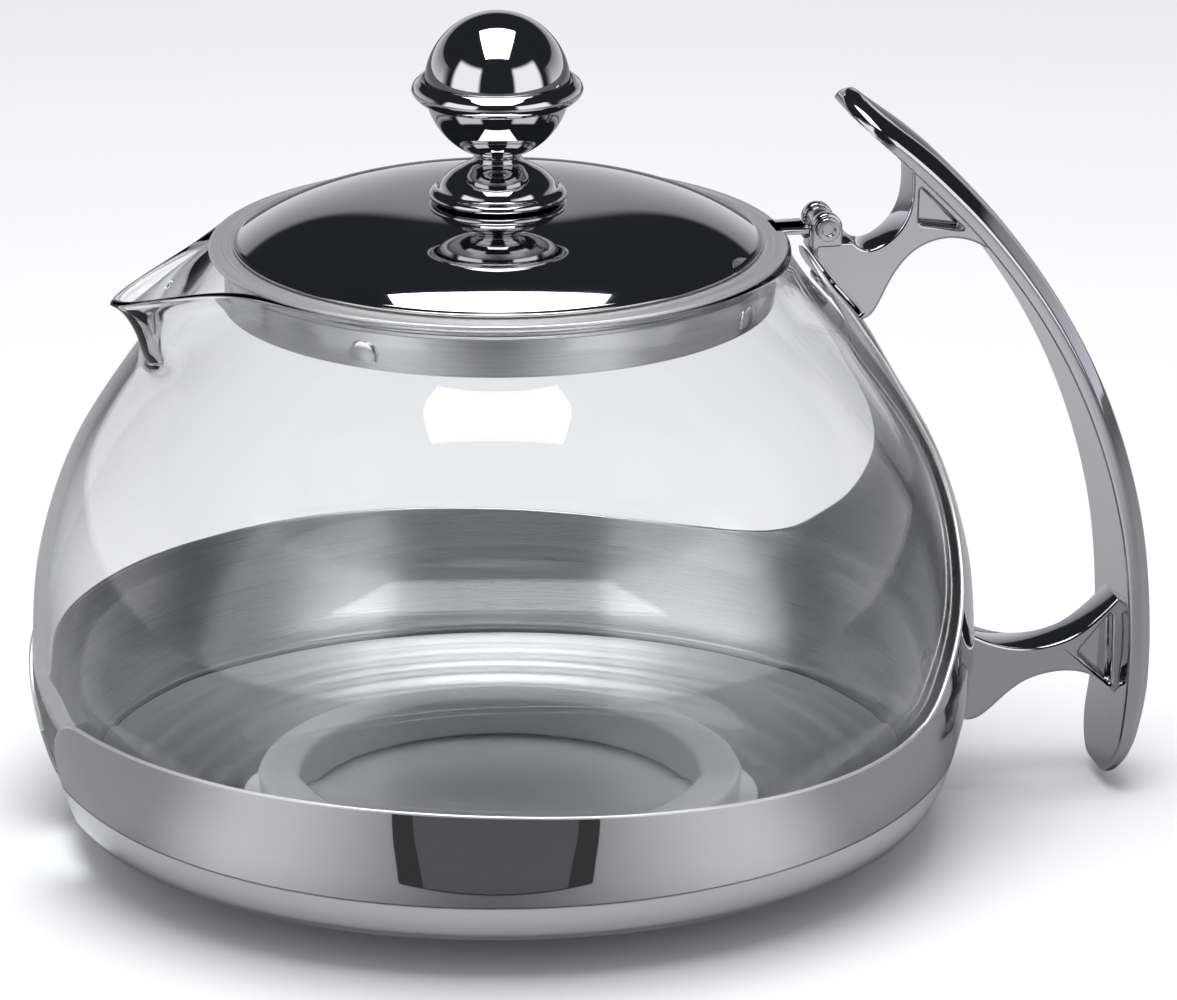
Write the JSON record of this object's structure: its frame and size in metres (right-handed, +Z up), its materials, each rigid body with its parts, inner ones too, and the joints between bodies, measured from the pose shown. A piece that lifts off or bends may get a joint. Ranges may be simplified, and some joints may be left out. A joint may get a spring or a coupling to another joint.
{
  "type": "glass teapot",
  "caption": "Round clear glass teapot in a polished steel base shell, with a curved cast handle and a hinged domed lid with a ball knob.",
  "frame": {"origin": "on the pot's vertical axis, at the surface it stands on", "axes": "+Z up, +X towards the handle and lid hinge, -X towards the pouring beak"},
  "size_m": [0.1831, 0.153, 0.136],
  "materials": {
    "clear_glass": "clear polished borosilicate",
    "mirror_steel": "mirror polished outside",
    "satin_steel": "satin, finely brushed",
    "chromed_casting": "bright chrome plate on a zinc casting",
    "screw_steel": "plain stainless",
    "silicone": "translucent silicone"
  },
  "bodies": {
    "pot": {"glass_pot": "clear_glass", "base_shell": "mirror_steel", "base_pan": "satin_steel", "cushion_ring": "silicone", "handle": "chromed_casting", "upper_bracket_screw": "screw_steel", "lower_bracket_screw": "screw_steel", "hinge_pin": "screw_steel"},
    "lid": {"lid_collar": "satin_steel", "lid_dome": "mirror_steel", "knob_foot": "mirror_steel", "knob_lower_cup": "mirror_steel", "knob_band": "mirror_steel", "knob_upper_cup": "mirror_steel", "knob_insert": "screw_steel", "knob_screw": "screw_steel", "knob_washer": "screw_steel"}
  },
  "joints": [
    {"name": "lid_hinge", "type": "hinge", "parent": "pot", "child": "lid", "pos_m": [0.053, 0, 0.0984], "axis": [0, 1, 0], "range_deg": [0, 82]}
  ]
}
